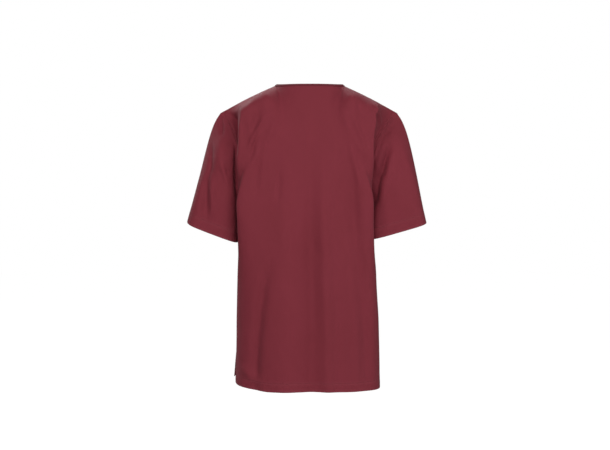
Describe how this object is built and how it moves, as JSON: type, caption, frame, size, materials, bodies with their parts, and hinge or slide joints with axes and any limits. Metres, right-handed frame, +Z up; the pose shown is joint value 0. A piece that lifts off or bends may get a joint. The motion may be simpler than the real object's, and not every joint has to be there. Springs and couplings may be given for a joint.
{
  "type": "medical scrub top",
  "caption": "Short-sleeved pull-on medical scrub top with a bound V neck, set-in sleeves and side vents, hollow and filled out as it is worn.",
  "frame": {"origin": "midway between the two shoulder-neck points, where the wearer's shoulders carry the garment", "axes": "+Z up, -Y out of the garment's front and +Y out of its back, +X to the wearer's left"},
  "size_m": [0.5935, 0.2662, 0.7535],
  "materials": {
    "scrub_cloth": "burgundy cotton and polyester twill, matte with a faint sheen on the folds",
    "neck_binding_cloth": "folded burgundy bias strip, a shade darker"
  },
  "bodies": {
    "root": {"back_panel": "scrub_cloth", "front_panel": "scrub_cloth", "sleeve_left": "scrub_cloth", "sleeve_right": "scrub_cloth", "neck_binding": "neck_binding_cloth"}
  },
  "joints": []
}
